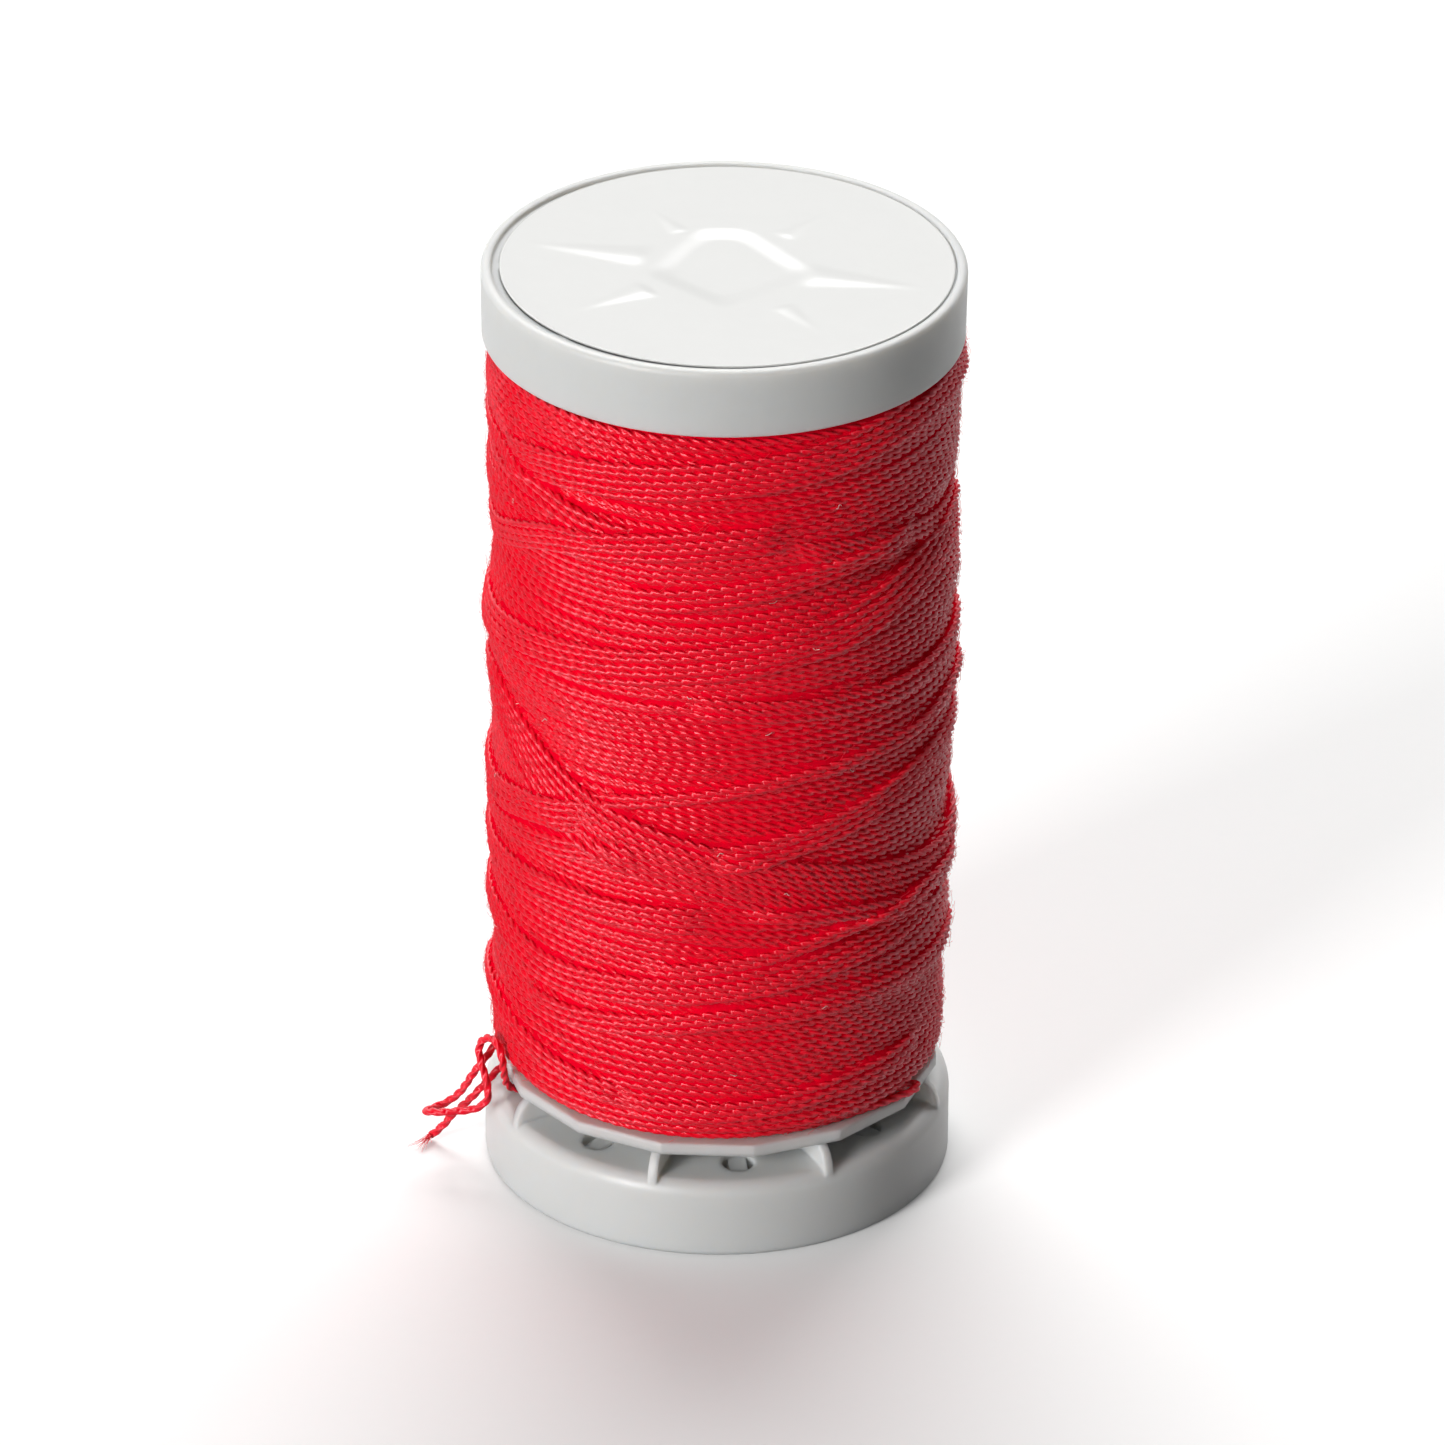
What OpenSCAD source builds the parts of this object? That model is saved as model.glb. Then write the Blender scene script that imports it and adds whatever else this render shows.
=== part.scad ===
// Sewing-thread spool with a sliding locking base.
// Millimetres. The origin is the centre of the base's flat foot, +Z runs up the spool's axis.

/* [Top flange] */
// Diameter of the round top flange
flange_d = 28; // [26:0.5:32]
// Height of the flange's side band
flange_h = 4.15; // [3.4:0.05:5]
// Wall of the flange's rim and floor
flange_wall = 1.1; // [0.8:0.05:1.3]
// Width of the raised lip round the label
lip_w = 0.6; // [0.4:0.05:0.9]
// Height of the lip above the label's seat
lip_h = 0.25; // [0.2:0.05:0.5]
// Rounding of the lip's outer edge
lip_round = 0.28; // [0.1:0.02:0.35]
// Number of webs under the label
deck_webs = 8; // [6:1:10]
// Thickness of the webs under the label
deck_web_t = 0.8; // [0.5:0.1:1.2]

/* [Barrel] */
// Clear height between the two flanges, filled by the thread
traverse_h = 46.87; // [38:0.01:56]
// Outside diameter of the barrel
barrel_d = 16.4; // [15.2:0.1:17.2]
// Wall of the barrel
barrel_wall = 1.1; // [0.8:0.05:1.3]
// Diameter of the spindle bore
bore_d = 9.5; // [8:0.1:10.2]
// Wall of the bore's tube
bore_wall = 0.9; // [0.7:0.05:1]
// Height of the widened mouth of the bore, under the label
mouth_h = 1.15; // [0.6:0.05:1.4]
// How far the mouth widens
mouth_flare = 0.5; // [0.2:0.05:0.6]
// Number of webs between the bore's tube and the barrel
barrel_webs = 4; // [3:1:6]
// Thickness of those webs
barrel_web_t = 0.9; // [0.6:0.1:1.2]

/* [Lower flange] */
// Number of straight sides
flange_sides = 15; // [13:1:18]
// Thickness of the lower flange
lower_flange_t = 0.7; // [0.5:0.05:1]
// How far its corners stay inside the base's wall
flange_step = 0.7; // [0.5:0.05:1]
// Turn of its corners about the axis
flange_turn = -8.4; // [-12:0.1:12]

/* [Locking base] */
// How far the base's wall stays inside the top flange's edge
base_inset = 0.2; // [0:0.05:0.5]
// Wall of the cup
base_wall = 1.1; // [0.8:0.05:1.3]
// Height of the shoulder where it meets the wall
shoulder_z = 4.8; // [4.4:0.05:5.4]
// Rounding of the shoulder
shoulder_round = 0.85; // [0.4:0.05:1.1]
// Rise of the shoulder from wall to barrel
shoulder_rise = 0.2; // [0:0.05:0.4]
// Rounding of the foot's outer edge
foot_round = 0.3; // [0.1:0.05:0.5]
// Wall of the inner sleeve
sleeve_wall = 0.9; // [0.7:0.05:1.1]
// Gap between the sleeve's end and the surface it stands on
sleeve_lift = 0.5; // [0.2:0.05:0.8]
// Number of ribs, and of windows between them
rib_count = 8; // [6:1:9]
// Thickness of a rib
rib_t = 0.55; // [0.4:0.05:1]
// Height from the shoulder down to a rib's lower end
rib_foot = 0.4; // [0.2:0.05:0.8]
// Height of the thread gap between shoulder and lower flange
thread_gap = 1.48; // [1.2:0.02:1.8]
// How far a rib's flat top stays inside the lower flange's sides
rib_setback = 0.4; // [0.2:0.05:0.7]
// Turn of the first rib about the axis
rib_turn = -61; // [-70:1:-50]
// Diameter of a window
window_d = 1.95; // [1.5:0.05:2.1]
// Thickness of the web under a window
web_t = 1.05; // [0.7:0.05:1.2]
// Depth of the web's edge below the shoulder, seen in the window
web_drop = 0.25; // [0.1:0.05:0.4]

/* [Sliding lock] */
// Travel of the base from closed to open
lock_travel = 2.4; // [1.6:0.1:2.6]
// How far the snap bead stands out of the stub
bead_out = 0.4; // [0.3:0.05:0.5]
// Height of the snap bead
bead_h = 0.7; // [0.5:0.05:0.8]
// Radial clearance between stub and base
slide_fit = 0.08; // [0.05:0.01:0.1]
// Radial clearance between bead and sleeve
bead_fit = 0.15; // [0.1:0.01:0.25]
// Gap left at the stops, so that no faces rub
stop_gap = 0.02; // [0.01:0.01:0.05]

/* [Label] */
// Thickness of the label
label_t = 0.12; // [0.08:0.02:0.2]
// Gap between the label's edge and the lip
label_gap = 0.3; // [0.1:0.02:0.4]
// Depth of the hollow pressed in over the bore
label_dent = 0.45; // [0.2:0.05:0.6]

/* [Thread] */
// Thickness of the thread
thread_d = 0.45; // [0.3:0.01:0.46]
// How far the winding stays inside the top flange's edge
wind_inset = 0.375; // [0.2:0.005:0.8]
// How far the winding's foot stays inside the lower flange's sides
foot_inset = 0.7; // [0.4:0.05:1.2]
// Height over which the winding rounds in to its foot
foot_h = 3; // [2:0.1:4]
// Rounding of the winding's upper edge
shoulder_in = 0.5; // [0.2:0.05:0.9]
// Number of turns shown in the outer layer
turns = 24; // [18:1:24]
// Clearance between outer turns and the package under them
turn_lift = 0.06; // [0.04:0.01:0.1]
// Clearance between the package and the plastic
pack_fit = 0.03; // [0.02:0.01:0.05]
// Height of the lowest turn above the lower flange
first_turn = 0.86; // [0.6:0.02:1.2]

/* [Hidden] */
$fn = 96;
// Sink of one shape into the next of the same moulding, and overrun of a cutting shape past a face
eps = 0.01;
over = 1;

// Heights up the axis
flange_low_z = shoulder_z + thread_gap;
flange_low_top = flange_low_z + lower_flange_t;
flange_top_z = flange_low_top + traverse_h;
spool_h = flange_top_z + flange_h;
seat_z = spool_h - lip_h;

// Radii
flange_r = flange_d / 2;
barrel_r = barrel_d / 2;
bore_r = bore_d / 2;
mouth_r = bore_r + mouth_flare;
base_r = flange_r - base_inset;
corner_r = base_r - flange_step;
side_r = corner_r * cos(180 / flange_sides);
hole_r = barrel_r + slide_fit;
bead_r = barrel_r + bead_out;
sleeve_r = bead_r + bead_fit;
sleeve_out = sleeve_r + sleeve_wall;
cup_r = base_r - base_wall;
window_pos = (sleeve_out + cup_r) / 2;
inner_shoulder_z = shoulder_z + shoulder_rise;
shoulder_under = inner_shoulder_z - base_wall;
bead_top = shoulder_under - lock_travel - stop_gap;
stub_z = bead_top - bead_h;
rib_angle = 360 / rib_count;
rib_top_r = side_r - rib_setback;

// Small fixed sizes of the mouldings
rib_root = 0.3;
rib_lean = 0.5;
web_lift = 0.3;
edge_round = 0.15;
side_draft = 0.05;
lip_in_round = 0.1;

// Points along an arc, from angle a to angle b about (cx, cy)
arc_steps = 8;
function arc(cx, cy, r, a, b) =
    [for (i = [0 : arc_steps]) let (t = a + (b - a) * i / arc_steps) [cx + r * cos(t), cy + r * sin(t)]];

// Places copies evenly round the axis
module around(count, first = 0) {
    for (i = [0 : count - 1])
        rotate([0, 0, first + i * 360 / count])
            children();
}

// A radial plate of a given thickness from its outline in radius and height
module radial_plate(thick, outline) {
    rotate([90, 0, 0])
        translate([0, 0, -thick / 2])
            linear_extrude(height = thick)
                polygon(outline);
}

// Cup, shoulder and sleeve of the base, as one turned outline
module base_shell() {
    corner_x = base_r - shoulder_round;
    corner_z = shoulder_z - shoulder_round;
    slope = atan2(shoulder_rise, corner_x - hole_r);
    outline = concat(
        arc(base_r - foot_round, foot_round, foot_round, -90, 0),
        arc(corner_x, corner_z, shoulder_round, 0, 90 - slope),
        [
            [hole_r, inner_shoulder_z],
            [hole_r, shoulder_under],
            [sleeve_r, shoulder_under],
            [sleeve_r, sleeve_lift],
            [sleeve_out, sleeve_lift],
            [sleeve_out, shoulder_under],
            [cup_r, shoulder_z - base_wall],
            [cup_r, 0]
        ]
    );
    rotate_extrude() polygon(outline);
}

// Web across one window, its edge just below the shoulder's face
module window_web() {
    web_low = sleeve_lift + web_lift;
    web_top = shoulder_z + shoulder_rise / 2 - web_drop;
    translate([sleeve_out - sleeve_wall / 2, -web_t / 2, web_low])
        cube([cup_r - sleeve_out + sleeve_wall, web_t, web_top - web_low]);
}

// Crescent rib that carries the lower flange
module crescent_rib() {
    foot_z = shoulder_z - rib_foot;
    top_z = flange_low_z - stop_gap;
    corner_drop = max(0, shoulder_round - rib_foot);
    foot_r = base_r - shoulder_round + sqrt(pow(shoulder_round, 2) - pow(corner_drop, 2));
    run = foot_r - eps - rib_top_r;
    rise = top_z - foot_z;
    curve = [for (t = [0 : 7.5 : 90]) [rib_top_r + run * cos(t), foot_z + rise * sin(t)]];
    root_r = sleeve_out + rib_root;
    radial_plate(rib_t, concat(curve, [[root_r + rib_lean, top_z], [root_r, foot_z]]));
}

module locking_base() {
    color("whitesmoke") {
        difference() {
            base_shell();
            around(rib_count, rib_turn + rib_angle / 2)
                translate([window_pos, 0, shoulder_z - base_wall - over])
                    cylinder(d = window_d, h = base_wall + 2 * over);
        }
        around(rib_count, rib_turn + rib_angle / 2) window_web();
        around(rib_count, rib_turn) crescent_rib();
    }
}

// Top flange: floor, rim and lip, as one turned outline
module top_dish() {
    rim_in = flange_r - flange_wall;
    lip_in = flange_r - lip_w;
    floor_z = flange_top_z + flange_wall;
    outline = concat(
        [[barrel_r - barrel_wall, flange_top_z]],
        arc(flange_r - side_draft - edge_round, flange_top_z + edge_round, edge_round, -90, 0),
        arc(flange_r - lip_round, spool_h - lip_round, lip_round, 0, 90),
        arc(lip_in + lip_in_round, spool_h - lip_in_round, lip_in_round, 90, 180),
        [
            [lip_in, seat_z],
            [rim_in, seat_z],
            [rim_in, floor_z],
            [bore_r + bore_wall / 2, floor_z],
            [bore_r + bore_wall / 2, flange_top_z]
        ]
    );
    rotate_extrude() polygon(outline);
}

// Barrel wall with the stub's snap bead
module barrel_tube() {
    outline = [
        [barrel_r - barrel_wall, stub_z],
        [barrel_r, stub_z],
        [bead_r, stub_z + bead_h / 2],
        [bead_r, bead_top],
        [barrel_r, bead_top],
        [barrel_r, flange_top_z + eps],
        [barrel_r - barrel_wall, flange_top_z + eps]
    ];
    rotate_extrude() polygon(outline);
}

// Tube of the spindle bore, with its widened mouth under the label
module bore_tube() {
    tube_r = bore_r + bore_wall;
    outline = [
        [bore_r, stub_z],
        [tube_r, stub_z],
        [tube_r, seat_z],
        [mouth_r, seat_z],
        [bore_r, seat_z - mouth_h]
    ];
    rotate_extrude() polygon(outline);
}

// Straight-sided flange between the thread and the locking base
module lower_flange() {
    corners = [for (i = [0 : flange_sides - 1])
        let (a = flange_turn + i * 360 / flange_sides) [corner_r * cos(a), corner_r * sin(a)]];
    translate([0, 0, flange_low_z])
        difference() {
            linear_extrude(height = lower_flange_t) polygon(corners);
            translate([0, 0, -over])
                cylinder(r = barrel_r - barrel_wall / 2, h = lower_flange_t + 2 * over);
        }
}

module spool_body() {
    tube_mid = bore_r + bore_wall / 2;
    floor_z = flange_top_z + flange_wall;
    web_run = barrel_r - barrel_wall / 2 - tube_mid;
    deck_run = flange_r - flange_wall / 2 - tube_mid;
    color("whitesmoke") {
        top_dish();
        barrel_tube();
        bore_tube();
        lower_flange();
        around(barrel_webs, 45)
            translate([tube_mid, -barrel_web_t / 2, stub_z + bead_h])
                cube([web_run, barrel_web_t, flange_top_z - stub_z - bead_h + eps]);
        around(deck_webs)
            translate([tube_mid, -deck_web_t / 2, floor_z - eps])
                cube([deck_run, deck_web_t, seat_z - floor_z + eps]);
    }
}

// Depth of the label's hollow at radius r
function dent_at(r) = r >= mouth_r ? 0 : label_dent * (1 + cos(180 * r / mouth_r)) / 2;

module top_label() {
    label_r = flange_r - lip_w - label_gap;
    steps = 12;
    radii = [for (i = [0 : steps]) mouth_r * i / steps];
    lower = [for (r = radii) [r, seat_z - dent_at(r)]];
    upper = [for (i = [steps : -1 : 0]) [radii[i], seat_z + label_t - dent_at(radii[i])]];
    color("white")
        rotate_extrude()
            polygon(concat(lower, [[label_r, seat_z], [label_r, seat_z + label_t]], upper));
}

// Outer turns: rings in a turn, sides of the thread, and how far a chord between rings lies inside the circle
turn_rings = 24;
wind_sides = 6;
turn_sag = (flange_r - wind_inset) * (1 - cos(180 / turn_rings));

// Radius of the package under the outer turns, at height z
core_r = flange_r - wind_inset - thread_d - turn_lift - turn_sag;
core_foot_r = side_r - foot_inset - thread_d;
foot_top = flange_low_top + foot_h;
function core_at(z) = z >= foot_top ? core_r
    : core_foot_r + (core_r - core_foot_r) * sqrt(max(0, 1 - pow((foot_top - z) / foot_h, 2)));

module thread_package() {
    low = flange_low_top + pack_fit;
    high = flange_top_z - pack_fit;
    steps = 12;
    foot_curve = [for (i = [0 : steps])
        let (z = low + (foot_top - low) * (1 - cos(90 * i / steps))) [core_at(z), z]];
    color("crimson")
        rotate_extrude()
            polygon(concat(
                [[barrel_r + pack_fit, low]],
                foot_curve,
                arc(core_r - shoulder_in, high - shoulder_in, shoulder_in, 0, 90),
                [[barrel_r + pack_fit, high]]
            ));
}

// Tube swept along a path: a ring has its centre, two directions square to the path, and a radius
function unit(v) = v / norm(v);
function tangent(p, i) = unit(p[min(i + 1, len(p) - 1)] - p[max(i - 1, 0)]);
function ring(c, n, b, r, sides) =
    [for (k = [0 : sides - 1]) let (a = 360 * k / sides) c + r * (cos(a) * n + sin(a) * b)];
function tube_faces(rings, sides) = concat(
    [for (i = [0 : rings - 2], k = [0 : sides - 1])
        let (a = i * sides + k, b = i * sides + (k + 1) % sides) [a, b, b + sides]],
    [for (i = [0 : rings - 2], k = [0 : sides - 1])
        let (a = i * sides + k, b = i * sides + (k + 1) % sides) [a, b + sides, a + sides]],
    [for (k = [1 : sides - 2]) [0, k + 1, k]],
    [for (k = [1 : sides - 2]) let (s = (rings - 1) * sides) [s, s + k, s + k + 1]]
);

// One helix, its lower end straight towards the tail and its upper end bent up against the flange
wind_start = 184;
bend_r = 0.7;
bend_steps = 6;
wind_low = flange_low_top + first_turn;
wind_high = flange_top_z - bend_r - thread_d;
function turn_point(i) =
    let (
        z = wind_low + (wind_high - wind_low) * i / (turns * turn_rings),
        a = wind_start - 360 * i / turn_rings,
        r = core_at(z) + thread_d / 2 + turn_lift + turn_sag
    )
    [r * cos(a), r * sin(a), z];
function radial(p) = unit([p[0], p[1], 0]);
helix = [for (i = [0 : turns * turn_rings]) turn_point(i)];
helix_end = helix[len(helix) - 1];
end_way = unit(cross(radial(helix_end), [0, 0, 1]));
bend = [for (i = [1 : bend_steps])
    let (a = 90 * i / bend_steps) helix_end + bend_r * (sin(a) * end_way + (1 - cos(a)) * [0, 0, 1])];
bend_end = bend[len(bend) - 1];
start_way = unit(helix[0] - helix[1]);
wind_exit = helix[0] + thread_d * start_way;
wind_path = concat([wind_exit], helix, bend, [[bend_end[0], bend_end[1], flange_top_z]]);

module outer_turns() {
    last = len(wind_path) - 1;
    rings = [for (i = [0 : last])
        let (
            way = i == last ? [0, 0, 1] : i <= 1 ? -start_way : tangent(wind_path, i),
            out = radial(helix[min(max(i - 1, 0), len(helix) - 1)]),
            side = unit(out - way * (way * out))
        )
        ring(wind_path[i], side, cross(way, side), thread_d / 2, wind_sides)];
    color("red")
        polyhedron([for (r = rings, p = r) p], tube_faces(len(wind_path), wind_sides));
}

// Least gap between stretches of the outer turns that lie half a turn or more apart
half_turn = turn_rings / 2;
wind_gap = min([for (i = [0 : len(wind_path) - 1 - half_turn])
    min([for (j = [i + half_turn : min(i + 2 * turn_rings, len(wind_path) - 1)])
        norm(wind_path[i] - wind_path[j])])]) - thread_d;
echo(least_gap_in_outer_turns = wind_gap, lower_end = wind_exit, lower_way = start_way, height = spool_h);

// Route of the free end: out of the winding, folded, back up, under the lower flange and out again
tail_route = [
    [-12.99, -1.36, 7.83], [-13.02, -1.96, 7.82], [-13.35, -2.8, 7.6], [-13.9, -3.2, 7.0],
    [-14.45, -3.05, 6.1], [-14.9, -2.8, 5.2], [-15.35, -2.35, 4.3], [-16.05, -2.0, 3.5],
    [-16.8, -2.25, 3.25], [-17.25, -3.05, 3.45], [-16.95, -3.85, 3.9], [-16.15, -4.35, 4.15],
    [-15.15, -4.45, 4.3], [-14.2, -4.75, 4.7], [-13.6, -5.0, 5.45], [-13.6, -4.75, 6.4],
    [-13.95, -4.05, 7.3], [-14.1, -3.65, 8.0], [-13.9, -3.7, 8.7], [-13.4, -4.2, 9.15],
    [-12.95, -4.8, 9.0], [-12.7, -5.2, 8.3], [-12.6, -4.95, 7.2], [-12.4, -4.3, 6.05],
    [-11.8, -3.85, 5.5], [-10.9, -3.35, 5.45], [-10.35, -2.4, 5.5], [-10.65, -1.3, 5.5],
    [-11.7, -0.9, 5.55], [-12.8, -1.4, 5.55], [-13.55, -1.9, 5.05], [-14.35, -2.0, 4.1],
    [-15.05, -1.65, 3.15], [-15.7, -1.2, 2.25], [-16.2, -0.9, 1.4], [-16.7, -0.7, 0.75],
    [-17.08, -0.5, 0.3]
];
tail_steps = 2;
tail_sides = 8;
function knot(i) = tail_route[min(max(i, 0), len(tail_route) - 1)];
function spline(i, t) =
    let (a = knot(i - 1), b = knot(i), c = knot(i + 1), d = knot(i + 2))
    0.5 * (2 * b + t * (c - a + t * (2 * a - 5 * b + 4 * c - d + t * (3 * b - a - 3 * c + d))));
tail_path = concat(
    [for (i = [0 : len(tail_route) - 2], s = [0 : tail_steps - 1]) spline(i, s / tail_steps)],
    [tail_route[len(tail_route) - 1]]
);
// Ring normals are carried along the path, so that the tube never twists
function carry(i, n) = let (t = tangent(tail_path, i)) unit(n - t * (n * t));
function normals(i, n) = i == len(tail_path) ? [] : let (m = carry(i, n)) concat([m], normals(i + 1, m));

module thread_tail() {
    side = normals(0, [0, 0, 1]);
    rings = [for (i = [0 : len(tail_path) - 1])
        ring(tail_path[i], side[i], cross(tangent(tail_path, i), side[i]), thread_d / 2, tail_sides)];
    color("red")
        polyhedron([for (r = rings, p = r) p], tube_faces(len(tail_path), tail_sides));
}

locking_base();
spool_body();
top_label();
thread_package();
outer_turns();
thread_tail();
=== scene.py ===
"""Sewing-thread spool: winding, free end, label, mouldings and stage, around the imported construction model.

Lengths named with _mm are millimetres; everything handed to Blender is in metres. An azimuth is in degrees
round the spool's axis, 0 towards the viewer (-Y) and positive towards +X.
"""

import math
import random

import bmesh
import bpy
import numpy as np
from bpy.props import FloatProperty, FloatVectorProperty, IntProperty, PointerProperty
from bpy.types import Operator, Panel, PropertyGroup
from mathutils import Matrix, Vector


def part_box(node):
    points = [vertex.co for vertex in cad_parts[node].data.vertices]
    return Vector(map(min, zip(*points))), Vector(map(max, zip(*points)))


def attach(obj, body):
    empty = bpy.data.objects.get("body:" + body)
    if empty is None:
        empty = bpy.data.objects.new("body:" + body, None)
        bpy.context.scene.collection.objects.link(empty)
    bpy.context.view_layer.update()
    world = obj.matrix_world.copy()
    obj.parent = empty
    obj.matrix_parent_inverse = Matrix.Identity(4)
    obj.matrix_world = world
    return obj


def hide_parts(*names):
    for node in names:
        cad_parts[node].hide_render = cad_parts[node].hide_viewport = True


bl_info = {
    "name": "Thread Spool",
    "version": (1, 0, 0),
    "blender": (4, 5, 0),
    "location": "3D View > Sidebar > Spool",
    "description": "Winds, labels and finishes a sewing-thread spool",
    "category": "Add Mesh",
}

MM = 0.001
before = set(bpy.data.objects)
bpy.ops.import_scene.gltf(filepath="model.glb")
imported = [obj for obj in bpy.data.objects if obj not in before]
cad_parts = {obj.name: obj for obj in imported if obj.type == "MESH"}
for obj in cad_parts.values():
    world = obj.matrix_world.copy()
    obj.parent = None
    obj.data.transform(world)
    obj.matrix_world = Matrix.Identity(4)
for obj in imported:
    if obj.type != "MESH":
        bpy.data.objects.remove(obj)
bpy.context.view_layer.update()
PACKAGE_LOW, PACKAGE_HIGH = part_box("thread_package")
LABEL_LOW, LABEL_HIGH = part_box("top_label")

# Route of the thread's free end in millimetres: out of the winding, folded, back up, under the lower flange
# and out again to the surface the spool stands on.
TAIL_ROUTE_MM = (
    (-12.99, -1.36, 7.83), (-13.02, -1.96, 7.82), (-13.35, -2.8, 7.6), (-13.9, -3.2, 7.0),
    (-14.45, -3.05, 6.1), (-14.9, -2.8, 5.2), (-15.35, -2.35, 4.3), (-16.05, -2.0, 3.5),
    (-16.8, -2.25, 3.25), (-17.25, -3.05, 3.45), (-16.95, -3.85, 3.9), (-16.15, -4.35, 4.15),
    (-15.15, -4.45, 4.3), (-14.2, -4.75, 4.7), (-13.6, -5.0, 5.45), (-13.6, -4.75, 6.4),
    (-13.95, -4.05, 7.3), (-14.1, -3.65, 8.0), (-13.9, -3.7, 8.7), (-13.4, -4.2, 9.15),
    (-12.95, -4.8, 9.0), (-12.7, -5.2, 8.3), (-12.6, -4.95, 7.2), (-12.4, -4.3, 6.05),
    (-11.8, -3.85, 5.5), (-10.9, -3.35, 5.45), (-10.35, -2.4, 5.5), (-10.65, -1.3, 5.5),
    (-11.7, -0.9, 5.55), (-12.8, -1.4, 5.55), (-13.55, -1.9, 5.05), (-14.35, -2.0, 4.1),
    (-15.05, -1.65, 3.15), (-15.7, -1.2, 2.25), (-16.2, -0.9, 1.4), (-16.7, -0.7, 0.75),
    (-17.08, -0.5, 0.3),
)

# Bands of turns that lie over the even layer, in the order they were wound: how many turns, whether they lie
# above (+1) or below (-1) the band's edge, the azimuths between which they lie on top, and the edge's height
# in millimetres at a few azimuths.
BANDS = (
    (5, 1, -75, 115, ((-75, 47.6), (-45, 48.9), (0, 50.1), (30, 50.8), (45, 51.5), (75, 52.1))),
    (3, -1, -115, -15, ((-75, 49.2), (-60, 48.5), (-45, 47.8), (-30, 47.2), (0, 46.6))),
    (4, 1, -95, 25, ((-75, 42.2), (-45, 44.8), (-15, 45.9), (0, 46.3), (30, 46.6))),
    (3, 1, 10, 115, ((0, 46.2), (15, 45.6), (45, 44.7), (60, 44.1), (75, 43.4))),
    (3, 1, -35, 60, ((-30, 42.2), (-10, 42.6), (15, 43.5), (45, 44.6), (75, 45.0))),
    (5, 1, -100, 115, ((-75, 36.0), (-45, 36.9), (-30, 37.3), (0, 38.3), (30, 39.4), (45, 40.3), (75, 42.1))),
    (3, -1, -15, 115, ((-15, 36.9), (0, 36.7), (22, 36.3), (47, 35.8), (75, 36.0))),
    (4, -1, -115, 5, ((-75, 22.1), (-45, 22.8), (0, 23.0))),
    (3, -1, -115, -10, ((-75, 24.2), (-60, 24.9), (-45, 25.5), (-30, 26.3), (0, 27.0))),
    (8, -1, -118, 115, ((-75, 33.7), (-60, 31.9), (-45, 30.1), (-33, 28.9), (-20, 28.0), (0, 26.9),
                        (15, 25.9), (30, 24.9), (45, 24.0), (60, 23.3), (75, 22.8))),
    (2, -1, 0, 115, ((15, 22.8), (30, 22.4), (45, 21.7), (60, 21.0), (75, 20.3))),
    (5, -1, -112, -28, ((-75, 26.4), (-60, 27.3), (-45, 28.2), (-33, 28.8), (-15, 29.3))),
    (2, 1, -38, 112, ((-45, 28.2), (-33, 28.9), (-7, 30.1), (15, 31.1), (31, 31.5), (60, 31.9), (75, 32.6))),
    (4, -1, -8, 115, ((0, 27.0), (15, 27.7), (30, 28.4), (45, 29.2), (60, 29.9), (75, 30.3))),
    (2, 1, -25, 90, ((-15, 18.4), (15, 19.4), (30, 20.1), (45, 20.8), (60, 21.2))),
    (4, 1, -112, 80, ((-75, 16.9), (-60, 16.5), (-45, 16.1), (-27, 16.5), (0, 17.1), (30, 18.0), (60, 18.6))),
    (3, 1, -65, 100, ((-45, 13.7), (-15, 14.6), (0, 15.3), (30, 15.5), (60, 15.2))),
    (3, 1, -112, -15, ((-75, 11.8), (-60, 10.8), (-45, 10.2), (-30, 9.6), (0, 9.2))),
    (3, -1, -30, 70, ((-15, 9.7), (0, 9.9), (15, 10.2), (30, 10.7), (60, 11.2))),
)

# Slow swell of the wound surface in millimetres, on the left and on the right of the spool, by height
SWELL_LEFT = ((7, -0.1), (8.5, -0.15), (11.5, 0.05), (13.5, -0.15), (16.5, -0.2), (18.5, -0.05), (21, -0.1),
              (23, -0.2), (26.5, -0.1), (28.5, 0), (29.5, -0.3), (31.5, -0.4), (33.5, 0), (35.5, 0.3),
              (39.5, -0.1), (42, -0.35), (45, 0.25), (46.5, 0.3), (48, -0.5), (50.5, 0.35), (53, 0.1))
SWELL_RIGHT = ((7, -0.25), (9.5, -0.05), (11.5, -0.15), (14, -0.4), (16.5, 0.2), (17.5, 0.2), (19.5, -0.7),
               (22, 0.3), (24, -0.3), (26.5, 0.25), (29, -0.1), (33.5, 0.35), (36, 0), (38, 0.15),
               (39.5, 0.5), (41.5, 0.15), (43.5, -0.6), (46.5, 0.2), (49.5, 0.3), (51.5, 0.3), (53, 0.1))

# Slack loop of the last turns that pokes out over the lower flange: azimuth in degrees, radius and height in
# millimetres
SLACK_LOOP = ((20, 12.0, 7.2), (32, 12.1, 7.21), (42, 12.3, 7.22), (50, 12.65, 7.24), (55.5, 13.0, 7.28),
              (59.5, 13.38, 7.32), (62, 13.35, 7.38), (62, 13.0, 7.42), (58, 12.7, 7.5), (52, 12.5, 7.6),
              (44, 12.45, 7.75), (34, 12.5, 7.95), (22, 12.6, 8.2))

# Pale lint caught on the winding: azimuth in degrees and height in millimetres
LINT = ((1, 27), (16, 24), (11, 34.5), (-62, 46), (22, 40), (30, 48.5), (8, 50), (-20, 19), (5, 12), (35, 31),
        (-48, 33), (14, 43), (26, 16), (-8, 37))

# The wound package is a grid of radii, with a column for each degree, which is also one sample of a turn, and
# a row for each cell of height
TURN_STEPS = 360
DEGREES = np.arange(-180, 180)
CELL_MM = 0.05
GRID_LOW_MM, GRID_HIGH_MM = 6.6, 54.2
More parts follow.
